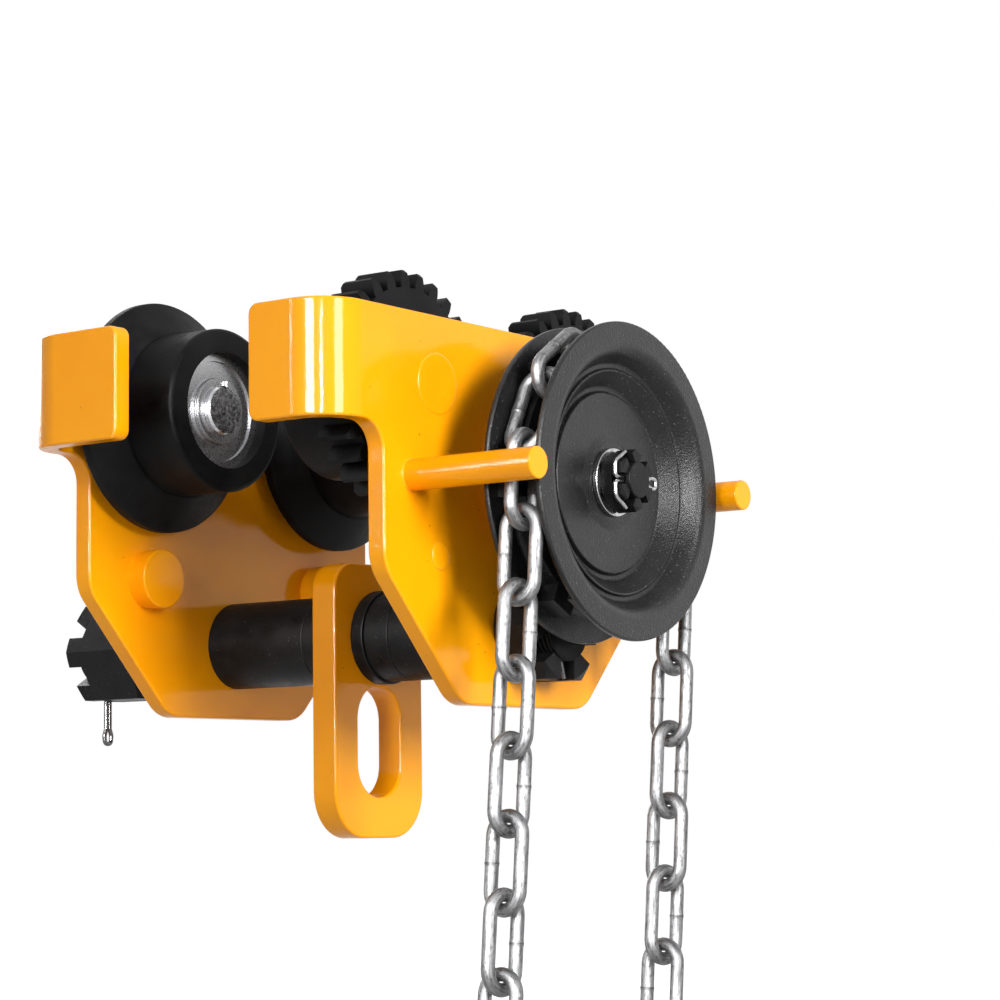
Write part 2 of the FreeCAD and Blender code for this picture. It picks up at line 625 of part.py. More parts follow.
def wrapped_leg(wire_r, af, length):
    """Leg bent along a nut's flat and round the corner onto the next flat."""
    loop_r = PIN_BEND * wire_r
    out = af / 2 + wire_r + PIN_GAP
    corner = out / math.sqrt(3)
    lean = math.radians(30)
    return [
        (-out + length * math.cos(lean), corner + length * math.sin(lean), 0),
        (-out, corner, 2 * loop_r), (-out, wire_r + SNUG, loop_r),
    ]


def splayed_leg(wire_r, start, end, spread):
    """Leg that leaves a shaft and spreads within a nut's slot."""
    return [(-end, spread, 0), (-start, wire_r + SNUG, PIN_BEND * wire_r)]


def hand_wheel():
    """Cast chain wheel: dished face, chain groove, slot for upright links and pockets for flat ones."""
    rear_hub = BOSS_END_Y - WHEEL_HUB_GAP
    lip = GROOVE_WALL - GROOVE_RIM_T
    far_wall = WHEEL_W - GROOVE_RIM_T
    wire_room = LINK_WIRE_R + CHAIN_SIDE_GAP
    section = [
        (HUB_SEAT_R + SNUG, WHEEL_REAR_Y - rear_hub, 0),
        (WHEEL_HUB_R, WHEEL_REAR_Y - rear_hub, WHEEL_EDGE_R),
        (WHEEL_HUB_R, WHEEL_REAR_RECESS, WHEEL_FILLET_R),
        (WHEEL_REAR_RECESS_R, WHEEL_REAR_RECESS, WHEEL_FILLET_R),
        (WHEEL_REAR_RECESS_R + WHEEL_REAR_RECESS / 2, 0, WHEEL_FILLET_R),
        (WHEEL_R, 0, WHEEL_EDGE_R),
        (WHEEL_R, GROOVE_RIM_T, WHEEL_EDGE_R),
        (CORE_R, GROOVE_RIM_T + lip, wire_room),
        (CORE_R, far_wall - lip, wire_room),
        (WHEEL_R, far_wall, WHEEL_EDGE_R),
        (WHEEL_R, WHEEL_W, WHEEL_EDGE_R),
        (WHEEL_FACE_R, WHEEL_W, WHEEL_SHOULDER_R),
    ]
    for terrace_r, depth in ((TERRACE_R, TERRACE_DEPTH), (HUB_DISC_R, HUB_DISC_DEPTH)):
        valley = depth - TERRACE_VALLEY
        section.append((terrace_r + VALLEY_OUT, valley, VALLEY_OUT_R))
        section.append((terrace_r + VALLEY_IN, valley, VALLEY_IN_R))
        section.append((terrace_r, depth, TERRACE_EDGE_R))
    section.append((HUB_BOSS_R + HUB_BOSS_SKIRT, HUB_DISC_DEPTH, HUB_BOSS_SKIRT))
    section.append((HUB_BOSS_R, HUB_FACE, WHEEL_EDGE_R))
    section.append((HUB_SEAT_R + SNUG, HUB_FACE, 0))
    wheel = turned([(r, WHEEL_REAR_Y - w, fillet) for r, w, fillet in section], 0, DRIVE_Z)
    slot_half = LINK_WIRE_R + SLOT_GAP
    wheel = wheel.cut(ring_y(WHEEL_R, SLOT_R, CHAIN_Y - slot_half, CHAIN_Y + slot_half, 0, DRIVE_Z))
    tooth_root = CORE_R - POCKET_TOOTH_ROOT
    tooth_tip = CORE_R + POCKET_TOOTH_RISE
    tooth_end = WHEEL_W / 2 - GROOVE_RIM_T
    round_offset = LINK_HALF_WIDTH - 2 * LINK_WIRE_R - CHAIN_SIDE_GAP - CORE_R
    cut_corner = round_offset + math.sqrt(2) * (wire_room + POCKET_TOOTH_LAP)
    tooth_section = [
        (tooth_root, slot_half), (tooth_root, tooth_root + cut_corner), (tooth_end - cut_corner, tooth_end),
        (tooth_tip, tooth_end), (tooth_tip, slot_half),
    ]
    for side in (-1, 1):
        corners = [V(r, CHAIN_Y + side * w, DRIVE_Z - POCKET_TOOTH_HALF) for r, w in tooth_section]
        tooth = Part.Face(Part.makePolygon(corners + corners[:1])).extrude(V(0, 0, 2 * POCKET_TOOTH_HALF))
        for k in range(POCKET_COUNT):
            turn = CHAIN_LEAN - CHAIN_PHASE + 360 * k / POCKET_COUNT
            wheel = wheel.fuse(tooth.rotated(V(0, 0, DRIVE_Z), V(0, 1, 0), turn))
    return wheel.removeSplitter().cut(key_block(SNUG))


def key_block(margin):
    """Square key half in the shaft and half in the hub, grown by a margin."""
    size = KEY_SIZE + 2 * margin
    start = HUB_FACE_Y + (BOSS_END_Y - WHEEL_HUB_GAP - HUB_FACE_Y - KEY_LENGTH) / 2
    low = DRIVE_Z + HUB_SEAT_R - KEY_SIZE / 2
    return Part.makeBox(size, KEY_LENGTH + 2 * margin, size, V(-size / 2, start - margin, low - margin))


def pinion_shaft():
    """Drive shaft with its pinion in one piece."""
    outer = inset(FRONT, THRUST_WASHER_T + 2 * FACE_GAP)
    inner = inset(FRONT, ROLLER_GAP + GUIDE_W + PINION_INNER_MARGIN)
    tip_r = PINION_PITCH_R + ADDENDUM * MODULE
    chamfered = [
        (0, outer, 0), (tip_r - RIM_CHAMFER, outer, 0), (tip_r, outer + RIM_CHAMFER, 0),
        (tip_r, inner - RIM_CHAMFER, 0), (tip_r - RIM_CHAMFER, inner, 0), (0, inner, 0),
    ]
    pinion = gear_prism(PINION_TEETH, PINION_FIRST_TOOTH, 0, DRIVE_Z, outer, inner)
    pinion = pinion.common(turned(chamfered, 0, DRIVE_Z))
    shoulder = BOSS_END_Y - WHEEL_HUB_GAP
    seat_end = HUB_FACE_Y + FACE_GAP
    tip = HUB_NUT_END_Y - HUB_THREAD_TIP
    thread_r = HUB_THREAD_R - SNUG
    section = [
        (0, inner, 0), (JOURNAL_R, inner, 0), (JOURNAL_R, shoulder, 0), (HUB_SEAT_R, shoulder, 0),
        (HUB_SEAT_R, seat_end, 0), (thread_r, seat_end, 0),
        (thread_r, tip, HUB_THREAD_TIP / 2), (0, tip, 0),
    ]
    shaft = pinion.fuse(turned(section, 0, DRIVE_Z)).removeSplitter().cut(key_block(SNUG))
    hole_r = 2 * HUB_PIN_WIRE_R + 2 * SNUG
    cross_hole = Part.makeCylinder(hole_r, 2 * JOURNAL_R, V(-JOURNAL_R, hub_pin_y(), DRIVE_Z), V(1, 0, 0))
    return shaft.cut(cross_hole)


def hub_pin_y():
    """Y of the split pin in the hand wheel's nut."""
    return HUB_NUT_END_Y + HUB_NUT_SLOT_D / 2


def nut_pin_y(end_y, direction):
    """Y of the split pin in a suspension nut."""
    return end_y - direction * NUT_SLOT_D / 2


def suspension_shaft():
    """Long shaft through both plates, threaded at its ends and drilled for split pins."""
    front = FRONT_NUT_END_Y - SHAFT_TIP
    rear = REAR_NUT_END_Y + SHAFT_TIP
    section = [(0, front, 0), (SHAFT_R, front, SHAFT_TIP), (SHAFT_R, rear, SHAFT_TIP), (0, rear, 0)]
    shaft = turned(section, 0, SHAFT_Z)
    hole_r = 2 * NUT_PIN_WIRE_R + 2 * SNUG
    for y in (nut_pin_y(FRONT_NUT_END_Y, FRONT), nut_pin_y(REAR_NUT_END_Y, REAR)):
        low = V(0, y, SHAFT_Z - SPACER_R)
        shaft = shaft.cut(Part.makeCylinder(hole_r, 2 * SPACER_R, low, V(0, 0, 1)))
    return shaft


def spacer(y0, y1, outer_r=SPACER_R):
    """Spacer ring on the suspension shaft."""
    return ring_y(outer_r, SHAFT_R + SLIP, y0, y1, 0, SHAFT_Z, SPACER_EDGE)


def load_plate():
    """Swinging plate with a slot for the hoist's hook."""
    half = LOAD_W / 2
    y0 = -LOAD_T / 2
    outline = [
        (-half, LOAD_TOP, LOAD_TOP_R), (half, LOAD_TOP, LOAD_TOP_R),
        (half, LOAD_BOTTOM, LOAD_BOTTOM_R), (-half, LOAD_BOTTOM, LOAD_BOTTOM_R),
    ]
    slot_r = LOAD_SLOT_W / 2
    straight = LOAD_SLOT_H - LOAD_SLOT_W
    low = LOAD_SLOT_Z - straight / 2
    plate = rounded_face(outline, seen_from_front(y0)).extrude(V(0, LOAD_T, 0))
    slot = Part.makeBox(LOAD_SLOT_W, LOAD_T, straight, V(-slot_r, y0, low))
    for z in (low, low + straight):
        slot = slot.fuse(rod_y(slot_r, y0, y0 + LOAD_T, 0, z))
    plate = plate.cut(slot.removeSplitter())
    plate = plate.makeFillet(EDGE_R, [e for e in plate.Edges if e.BoundBox.YLength < 1e-3])
    return plate.cut(rod_y(SHAFT_R + RUN, y0, y0 + LOAD_T, 0, SHAFT_Z))


def chain_link():
    """One welded link about the origin, long in Z and wide in X."""
    bend_r = LINK_INNER_WIDTH / 2 + LINK_WIRE_R
    straight = LINK_INNER_LENGTH - LINK_INNER_WIDTH
    link = None
    for sign in (LEFT, RIGHT):
        leg = Part.makeCylinder(LINK_WIRE_R, straight, V(sign * bend_r, 0, -straight / 2), V(0, 0, 1))
        rim = Part.makeCircle(LINK_WIRE_R, V(bend_r, 0, sign * straight / 2), V(0, 0, 1))
        section = Part.Face(Part.Wire(rim))
        bow = section.revolve(V(0, 0, sign * straight / 2), V(0, -sign, 0), 180)
        link = leg.fuse(bow) if link is None else link.fuse([leg, bow])
    weld = Part.makeCylinder(LINK_WIRE_R + WELD_SWELL, 2 * WELD_HALF_W, V(bend_r, 0, -WELD_HALF_W), V(0, 0, 1))
    return link.fuse(weld).removeSplitter()


def chain_places():
    """Centre (x, z), heading and twist in degrees, and stance of each link round the loop before it leans."""
    places = []
    phase = math.radians(CHAIN_PHASE)
    low_centre = -CHAIN_RUN_LINKS * RUN_PITCH
    for k in range(POCKET_COUNT):
        over = phase + 2 * k * TURN_STEP
        x = CHAIN_R * math.cos(over)
        z = CHAIN_R * math.sin(over)
        foot_upright = (k + CHAIN_RUN_LINKS) % 2 == 0
        places.append((x, z, math.degrees(over), 0, k % 2 == 0))
        places.append((-x, low_centre - z, math.degrees(over) + 180, 0, foot_upright))
    for end in (LEFT, RIGHT):
        x = end * JOINT_R * math.cos(phase - TURN_STEP)
        top = end * JOINT_R * math.sin(phase - TURN_STEP)
        for j in range(CHAIN_RUN_LINKS):
            twist = CHAIN_TWIST * math.sin(math.pi * j / CHAIN_RUN_LINKS)
            upright = j % 2 == (0 if end == LEFT else 1)
            places.append((x, top - (j + 0.5) * RUN_PITCH, 0, twist, upright))
    return places


def hand_chain():
    """Endless hand chain, whose links stand upright and lie flat by turns."""
    link = chain_link()
    centre = V(0, 0, 0)
    links = []
    for x, z, heading, twist, upright in chain_places():
        piece = link.rotated(centre, V(0, 0, 1), -twist if upright else 90 - twist)
        piece = piece.rotated(centre, V(0, 1, 0), -heading)
        piece.translate(V(x, CHAIN_Y, z + DRIVE_Z))
        links.append(piece.rotated(V(0, 0, DRIVE_Z), V(0, 1, 0), CHAIN_LEAN))
    return links


def main():
    os.makedirs("parts", exist_ok=True)
    save("front_side_plate", drilled_plate(FRONT))
    save("rear_side_plate", drilled_plate(REAR))
    circlips = []
    for side, kind in ((FRONT, "geared"), (REAR, "plain")):
        for word, end in ENDS.items():
            name = kind + "_roller_" + word
            roller = geared_roller(end) if side == FRONT else plain_roller(end)
            inner_ring, outer_ring, balls, cage, shields = bearing(side, end)
            save(name, roller)
            save(name + "_axle", axle(side, end))
            save(name + "_bearing_inner_ring", inner_ring)
            save(name + "_bearing_outer_ring", outer_ring)
            save(name + "_bearing_balls", *balls)
            save(name + "_bearing_cage", cage)
            save(name + "_bearing_shields", *shields)
            circlips.append(axle_circlip(side, end))
    save("axle_circlips", *circlips)
    save("front_anti_tilt_studs", *[anti_tilt_stud(FRONT, end) for end in ENDS.values()])
    save("rear_anti_tilt_studs", *[anti_tilt_stud(REAR, end) for end in ENDS.values()])
    for word, end in ENDS.items():
        save("chain_guide_" + word, chain_guide(end))

    boss = ring_y(BOSS_R, JOURNAL_R + BUSH_WALL + SNUG, BOSS_END_Y, -OUTER_FACE, 0, DRIVE_Z)
    spigot = ring_y(BOSS_SPIGOT_R, JOURNAL_R + BUSH_WALL + SNUG, -OUTER_FACE, -INNER_FACE, 0, DRIVE_Z)
    save("drive_boss", boss.fuse(spigot).removeSplitter())
    save("drive_bush", ring_y(JOURNAL_R + BUSH_WALL, JOURNAL_R + RUN, BOSS_END_Y, -INNER_FACE, 0, DRIVE_Z))
    washer_y = inset(FRONT, FACE_GAP)
    save("pinion_thrust_washer",
         ring_y(THRUST_WASHER_R, JOURNAL_R + FACE_GAP, washer_y, washer_y + THRUST_WASHER_T, 0, DRIVE_Z))
    save("pinion_shaft", pinion_shaft())
    save("hand_wheel", hand_wheel())
    save("hand_wheel_key", key_block(0))
    save("hand_wheel_washer",
         ring_y(WASHER_R, HUB_THREAD_R + FACE_GAP, HUB_NUT_Y, HUB_FACE_Y, 0, DRIVE_Z, WASHER_EDGE))
    save("hand_wheel_nut",
         slotted_nut(HUB_NUT_AF, HUB_NUT_H, HUB_NUT_SLOT_W, HUB_NUT_SLOT_D, HUB_THREAD_R,
                     HUB_NUT_Y, HUB_NUT_END_Y, DRIVE_Z, HUB_NUT_TURN))
    eye_start = HUB_NUT_AF / 2 - HUB_PIN_EYE_SINK
    leg = wrapped_leg(HUB_PIN_WIRE_R, HUB_NUT_AF, HUB_PIN_LEG)
    save("hand_wheel_split_pin",
         split_pin(HUB_PIN_WIRE_R, eye_start, HUB_PIN_EYE, HUB_PIN_EYE_HALF_W, leg,
                   lambda u, v: V(u, hub_pin_y(), DRIVE_Z + v)))

    save("suspension_shaft", suspension_shaft())
    collar_y = -LOAD_SEAT - COLLAR_W
    ring_end = collar_y - FRONT_RING_W
    save("front_spacer_collar", spacer(collar_y, -LOAD_SEAT, COLLAR_R))
    save("front_spacer_ring", spacer(ring_end, collar_y))
    save("front_spacer_tube", spacer(-INNER_FACE, ring_end))
    rear_ring_y = LOAD_SEAT + REAR_RING_W
    save("rear_spacer_ring", spacer(LOAD_SEAT, rear_ring_y))
    save("rear_spacer_tube", spacer(rear_ring_y, INNER_FACE))
    spare_ys = [OUTER_FACE + k * SPARE_RING_W for k in range(SPARE_RING_COUNT)]
    save("rear_spare_spacers", *[spacer(y, y + SPARE_RING_W) for y in spare_ys])
    spread = NUT_SLOT_W / 2 - NUT_PIN_WIRE_R - PIN_GAP
    for word, side, seat, end_y, height, drop in (
        ("front", FRONT, -OUTER_FACE, FRONT_NUT_END_Y, FRONT_NUT_H, FRONT_PIN_DROP),
        ("rear", REAR, REAR_NUT_Y, REAR_NUT_END_Y, REAR_NUT_H, REAR_PIN_DROP),
    ):
        save(word + "_suspension_nut",
             slotted_nut(NUT_AF, height, NUT_SLOT_W, NUT_SLOT_D, SHAFT_R + SNUG, seat, end_y, SHAFT_Z))
        pin_y = nut_pin_y(end_y, side)
        eye_down = 1 if side == REAR else -1
        leg = splayed_leg(NUT_PIN_WIRE_R, SHAFT_R, NUT_AF / 2 - NUT_PIN_SHORT, spread)
        save(word + "_suspension_split_pin",
             split_pin(NUT_PIN_WIRE_R, NUT_AF / 2 + drop, NUT_PIN_EYE, NUT_PIN_EYE_HALF_W, leg,
                       lambda u, v, y=pin_y, sign=eye_down: V(v, y, SHAFT_Z - sign * u)))
    save("load_plate", load_plate())
    save("hand_chain", *hand_chain())


main()
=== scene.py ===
"""Looks of a geared beam trolley: its finishes, hand chain, rivets, welds, studio and camera."""
import json
import logging
import math
from dataclasses import dataclass
from enum import Enum

import bpy
import numpy as np
from mathutils import Matrix


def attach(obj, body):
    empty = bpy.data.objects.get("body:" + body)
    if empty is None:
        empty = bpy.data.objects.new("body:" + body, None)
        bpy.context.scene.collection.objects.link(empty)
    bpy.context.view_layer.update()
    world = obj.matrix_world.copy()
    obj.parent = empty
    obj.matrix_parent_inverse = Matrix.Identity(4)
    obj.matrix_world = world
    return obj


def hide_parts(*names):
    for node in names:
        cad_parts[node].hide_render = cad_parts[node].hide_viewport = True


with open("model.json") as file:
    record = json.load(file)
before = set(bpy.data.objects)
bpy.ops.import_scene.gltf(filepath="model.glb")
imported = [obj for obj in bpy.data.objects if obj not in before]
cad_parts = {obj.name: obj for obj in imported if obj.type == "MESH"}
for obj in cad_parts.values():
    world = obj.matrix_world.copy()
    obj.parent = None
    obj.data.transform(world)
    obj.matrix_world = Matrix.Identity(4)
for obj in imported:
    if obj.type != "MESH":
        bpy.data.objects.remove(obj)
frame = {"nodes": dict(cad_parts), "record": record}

LOG = logging.getLogger("beam_trolley")
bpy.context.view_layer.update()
# A point of each joint's axis, in metres
JOINT_AT = {joint["name"]: joint["pos_m"] for joint in frame["record"]["behaviour"]["joints"]}
# Height of the hand wheel's axis, in metres
DRIVE_Z = JOINT_AT["drive_spin"][2]
# Most values of a noise lie between these two
NOISE_MIDDLE = (0.3, 0.7)
# Nodes that wear another finish than their material slot's
OWN_FINISH = {
    "suspension_shaft": "threaded_steel",
    "front_suspension_split_pin": "pin_steel",
    "rear_suspension_split_pin": "pin_steel",
}

Colour = tuple[float, float, float]
Point = tuple[float, float, float]
Span = tuple[float, float]
Socket = bpy.types.NodeSocket


class Side(Enum):
    """The two side plates, by the sign of their Y."""

    FRONT = -1
    REAR = 1


class End(Enum):
    """The two ends of the trolley, by the sign of their X."""

    LEFT = -1
    RIGHT = 1


class Stance(Enum):
    """How a chain link stands in the loop, by its turn about its own length in degrees."""

    UPRIGHT = 0.0
    FLAT = 90.0


class Graph:
    """Node tree of one material, built round a single Principled shader."""

    def __init__(self, name: str) -> None:
        """Start an empty tree.

        Args:
            name: the material's name.
        """
        self.material = bpy.data.materials.new(name)
        self.material.use_nodes = True
        self.tree = self.material.node_tree
        self.tree.nodes.clear()
        self.shader = self.tree.nodes.new("ShaderNodeBsdfPrincipled")
        output = self.tree.nodes.new("ShaderNodeOutputMaterial")
        self.tree.links.new(self.shader.outputs["BSDF"], output.inputs["Surface"])
        self.place = self.tree.nodes.new("ShaderNodeTexCoord").outputs["Object"]

    def feed(self, socket: Socket, value: "Socket | float | Colour") -> None:
        """Link a socket to a node's output, or set it to a plain value.

        Args:
            socket: the input to feed.
            value: an output socket, a number or a colour.
        """
        if isinstance(value, bpy.types.NodeSocket):
            self.tree.links.new(value, socket)
        elif isinstance(value, tuple) and socket.type == "RGBA":
            socket.default_value = (*value, 1.0)
        else:
            socket.default_value = value

    def surface(self, **values: "Socket | float | Colour") -> None:
        """Feed the shader's inputs, named with underscores for spaces."""
        for name, value in values.items():
            self.feed(self.shader.inputs[name.replace("_", " ")], value)

    def noise(self, grain: float, detail: float = 2.0, stretch: Point = (1.0, 1.0, 1.0),
              place: "Socket | None" = None) -> Socket:
        """Cloudy noise in the part's own coordinates.

        Args:
            grain: size of one patch in metres.
            detail: octaves of finer noise.
            stretch: how many times longer the patches are along each axis.
            place: other coordinates to follow, such as a wire's.

        Returns:
            Noise from 0 to 1.
        """
        mapping = self.tree.nodes.new("ShaderNodeMapping")
        mapping.inputs["Scale"].default_value = tuple(1.0 / part for part in stretch)
        self.tree.links.new(place or self.place, mapping.inputs["Vector"])
        node = self.tree.nodes.new("ShaderNodeTexNoise")
        node.inputs["Scale"].default_value = 1.0 / grain
        node.inputs["Detail"].default_value = detail
        self.tree.links.new(mapping.outputs["Vector"], node.inputs["Vector"])
        return node.outputs[0]

    def span(self, value: Socket, low: float, high: float, start: float = 0.0, end: float = 1.0) -> Socket:
        """Stretch a value from low..high to start..end, held at both.

        Args:
            value: the value to stretch.
            low: where the range starts.
            high: where the range ends.
            start: result at low.
            end: result at high.

        Returns:
            The stretched value.
        """
        node = self.tree.nodes.new("ShaderNodeMapRange")
        for socket, part in zip(node.inputs[1:5], (low, high, start, end)):
            socket.default_value = part
        self.tree.links.new(value, node.inputs[0])
        return node.outputs[0]

    def math(self, operation: str, first: "Socket | float", second: "Socket | float" = 0.0) -> Socket:
        """One step of arithmetic.

        Args:
            operation: Blender's name of the operation.
            first: first value.
            second: second value, where the operation takes one.

        Returns:
            The result.
        """
        node = self.tree.nodes.new("ShaderNodeMath")
        node.operation = operation
        self.feed(node.inputs[0], first)
        self.feed(node.inputs[1], second)
        return node.outputs[0]

    def mix(self, share: Socket, first: "Socket | Colour", second: "Socket | Colour") -> Socket:
        """Blend two colours.

        The node has sockets for every kind of value: 6 and 7 take the colours, and output 2 gives one.

        Args:
            share: 0 for the first colour and 1 for the second.
            first: first colour.
            second: second colour.

        Returns:
            The blended colour.
        """
        node = self.tree.nodes.new("ShaderNodeMix")
        node.data_type = "RGBA"
        self.feed(node.inputs[0], share)
        self.feed(node.inputs[6], first)
        self.feed(node.inputs[7], second)
        return node.outputs[2]

    def axis(self, index: int) -> Socket:
        """One of the part's coordinates.

        Args:
            index: 0 for X, 1 for Y and 2 for Z.

        Returns:
            The coordinate in metres.
        """
        node = self.tree.nodes.new("ShaderNodeSeparateXYZ")
        self.tree.links.new(self.place, node.inputs[0])
        return node.outputs[index]

    def attribute(self, name: str, output: str) -> Socket:
        """A value that the mesh carries.

        Args:
            name: the value's name on the mesh.
            output: the node's output that gives it.

        Returns:
            The value.
        """
        node = self.tree.nodes.new("ShaderNodeAttribute")
        node.attribute_name = name
        return node.outputs[output]

    def shown(self) -> Socket:
        """Tell rays that show a surface from rays that only light.

        Returns:
            1 for rays from the camera, from reflections and through glass, and 0 for the others.
        """
        path = self.tree.nodes.new("ShaderNodeLightPath").outputs
        mirrored = self.math("MAXIMUM", path["Is Glossy Ray"], path["Is Transmission Ray"])
        return self.math("MAXIMUM", path["Is Camera Ray"], mirrored)

    def relief(self, height: Socket, depth: float) -> Socket:
        """Bumped normal of a height from 0 to 1.

        Args:
            height: the height.
            depth: how far a height of 1 stands up, in metres.

        Returns:
            The normal.
        """
        node = self.tree.nodes.new("ShaderNodeBump")
        node.inputs["Strength"].default_value = 1.0
        node.inputs["Distance"].default_value = depth
        self.tree.links.new(height, node.inputs["Height"])
        return node.outputs["Normal"]


@dataclass(frozen=True)
class GlossPaint:
    """Thick glossy paint with orange peel, a fine grit and a few dark pits.

    The cloud, pit grain, peel, grit and wear are patch sizes, and depth is the bump's height, all in metres.
    """

    name: str
    full: Colour = (0.95, 0.368, 0.002)
    thin: Colour = (0.92, 0.330, 0.0015)
    pit: Colour = (0.42, 0.140, 0.004)
    cloud: float = 0.045
    cloud_span: Span = (0.35, 0.65)
    pit_grain: float = 0.0014
    pit_span: Span = (0.875, 0.895)
    peel: float = 0.0034
    peel_weight: float = 0.75
    grit: float = 0.0007
    grit_weight: float = 0.6
    depth: float = 0.00005
    wear: float = 0.02
    roughness: Span = (0.24, 0.36)
    shine: float = 0.02
    coat: float = 0.32
    coat_roughness: float = 0.02

    def material(self) -> bpy.types.Material:
        """Build the paint: cloud-tinted colour, pits where fine noise peaks, two scales of bump.

        Returns:
            The material.
        """
        graph = Graph(self.name)
        film = graph.mix(graph.span(graph.noise(self.cloud), *self.cloud_span), self.full, self.thin)
        pits = graph.span(graph.noise(self.pit_grain, 0.0), *self.pit_span)
        waves = graph.math("MULTIPLY", graph.noise(self.peel), self.peel_weight)
        grains = graph.math("MULTIPLY", graph.noise(self.grit, 1.0), self.grit_weight)
        normal = graph.relief(graph.math("ADD", waves, grains), self.depth)
        graph.surface(
            Base_Color=graph.mix(pits, film, self.pit),
            Roughness=graph.span(graph.noise(self.wear), *NOISE_MIDDLE, *self.roughness), Normal=normal,
            Specular_IOR_Level=self.shine, Coat_Weight=self.coat, Coat_Roughness=self.coat_roughness,
            Coat_Normal=normal,
        )
        return graph.material


@dataclass(frozen=True)
class BlackCoat:
    """Dark coat on iron or steel, with fine grain, light specks partly painted as glints, and threads where
    the part has them.

    The cloud, grains and wear are patch sizes and depth is the bump's height, in metres. The thread's height
    is a share of its pitch.
    """

    name: str
    dark: Colour = (0.0045, 0.0045, 0.0047)
    light: Colour = (0.0095, 0.0095, 0.0097)
    # Colour of the light specks, which are partly painted glints of the grain
    speck_and_glint: Colour = (0.09, 0.09, 0.09)
    cloud: float = 0.012
    speck_and_glint_grain: float = 0.0008
    speck_and_glint_from: float = 0.70
    speck_and_glint_edge: float = 0.06
    grain: float = 0.0011
    depth: float = 0.00006
    wear: float = 0.006
    roughness: Span = (0.36, 0.52)
    shine: float = 0.05
    thread_pitch: float = 0.0
    thread_from: float = 0.0
    thread_height: float = 0.3

    def material(self) -> bpy.types.Material:
        """Build the coat: clouded black, light specks (partly painted glints) where fine noise peaks, and
        grain or threads as bump.

        Returns:
            The material.
        """
        graph = Graph(self.name)
        coat = graph.mix(graph.span(graph.noise(self.cloud, 4.0), *NOISE_MIDDLE), self.dark, self.light)
        # Light specks in the base colour, partly painted glints that stand in for the sparkle of the grain
        speck_and_glint_full = self.speck_and_glint_from + self.speck_and_glint_edge
        specks_and_glints = graph.span(graph.noise(self.speck_and_glint_grain, 1.0), self.speck_and_glint_from, speck_and_glint_full)
        normal = graph.relief(graph.noise(self.grain, 3.0), self.depth)
        if self.thread_pitch:
            normal = graph.relief(self.thread(graph), self.thread_height * self.thread_pitch)
        graph.surface(
            Base_Color=graph.mix(specks_and_glints, coat, self.speck_and_glint), Specular_IOR_Level=self.shine,
            Roughness=graph.span(graph.noise(self.wear, 3.0), *NOISE_MIDDLE, *self.roughness), Normal=normal,
        )
        return graph.material

    def thread(self, graph: Graph) -> Socket:
        """Height of a thread along Y: the sine of one turn for each pitch, beyond where it starts.

        Args:
            graph: the coat's node tree.

        Returns:
            The height, from -1 to 1.
        """
        along = graph.axis(1)
        wave = graph.math("SINE", graph.math("MULTIPLY", along, 2.0 * math.pi / self.thread_pitch))
        reach = graph.math("ABSOLUTE", along)
        return graph.math("MULTIPLY", wave, graph.math("GREATER_THAN", reach, self.thread_from))


@dataclass(frozen=True)
class BareMetal:
    """Plated, ground or plain metal, with streaks along one axis where its grain is stretched.

    The grain is a patch size and depth is the bump's height, in metres.
    """

    name: str
    bright: Colour
    dull: Colour
    stretch: Point = (1.0, 1.0, 1.0)
    grain: float = 0.0016
    depth: float = 0.00001
    roughness: Span = (0.16, 0.34)

    def material(self) -> bpy.types.Material:
        """Build the metal: colour, roughness and bump from the same noise.

        Returns:
            The material.
        """
        graph = Graph(self.name)
        streak = graph.noise(self.grain, 4.0, self.stretch)
        graph.surface(
            Base_Color=graph.mix(graph.span(streak, *NOISE_MIDDLE), self.bright, self.dull), Metallic=1.0,
            Roughness=graph.span(streak, *NOISE_MIDDLE, *self.roughness),
            Normal=graph.relief(streak, self.depth),
        )
        return graph.material


@dataclass(frozen=True)
class DrawnWire:
    """Zinc on drawn wire: streaks along the wire, small dull pits and a dark line at each weld.

    The grains and wear are patch sizes and depth is the bump's height, in metres. The weld's share is how
    much of its own colour the line takes.
    """

    name: str
    bright: Colour = (0.23, 0.23, 0.233)
    dull: Colour = (0.10, 0.10, 0.102)
    pit: Colour = (0.055, 0.055, 0.056)
    weld: Colour = (0.03, 0.029, 0.028)
    grain: float = 0.0011
    grain_stretch: Point = (9.0, 1.0, 1.0)
    grain_span: Span = (0.34, 0.66)
    pit_grain: float = 0.0009
    pit_stretch: Point = (2.0, 1.0, 1.0)
    pit_span: Span = (0.52, 0.72)
    weld_share: float = 0.8
    wear: float = 0.004
    roughness: Span = (0.42, 0.58)
    depth: float = 0.00005

    def material(self) -> bpy.types.Material:
        """Build the zinc from the wire's own coordinates, which the mesh carries.

        Returns:
            The material.
        """
        graph = Graph(self.name)
        wire = graph.attribute("wire", "Vector")
        streak = graph.noise(self.grain, 3.0, self.grain_stretch, wire)
        blotch = graph.noise(self.wear, place=wire)
        pits = graph.noise(self.pit_grain, 3.0, self.pit_stretch, wire)
        plate = graph.mix(graph.span(streak, *self.grain_span), self.bright, self.dull)
        plate = graph.mix(graph.span(pits, *self.pit_span), plate, self.pit)
        seam = graph.math("MULTIPLY", graph.attribute("weld", "Fac"), self.weld_share)
        graph.surface(
            Base_Color=graph.mix(seam, plate, self.weld), Metallic=1.0,
            Roughness=graph.span(blotch, *NOISE_MIDDLE, *self.roughness),
            Normal=graph.relief(streak, self.depth),
        )
        return graph.material


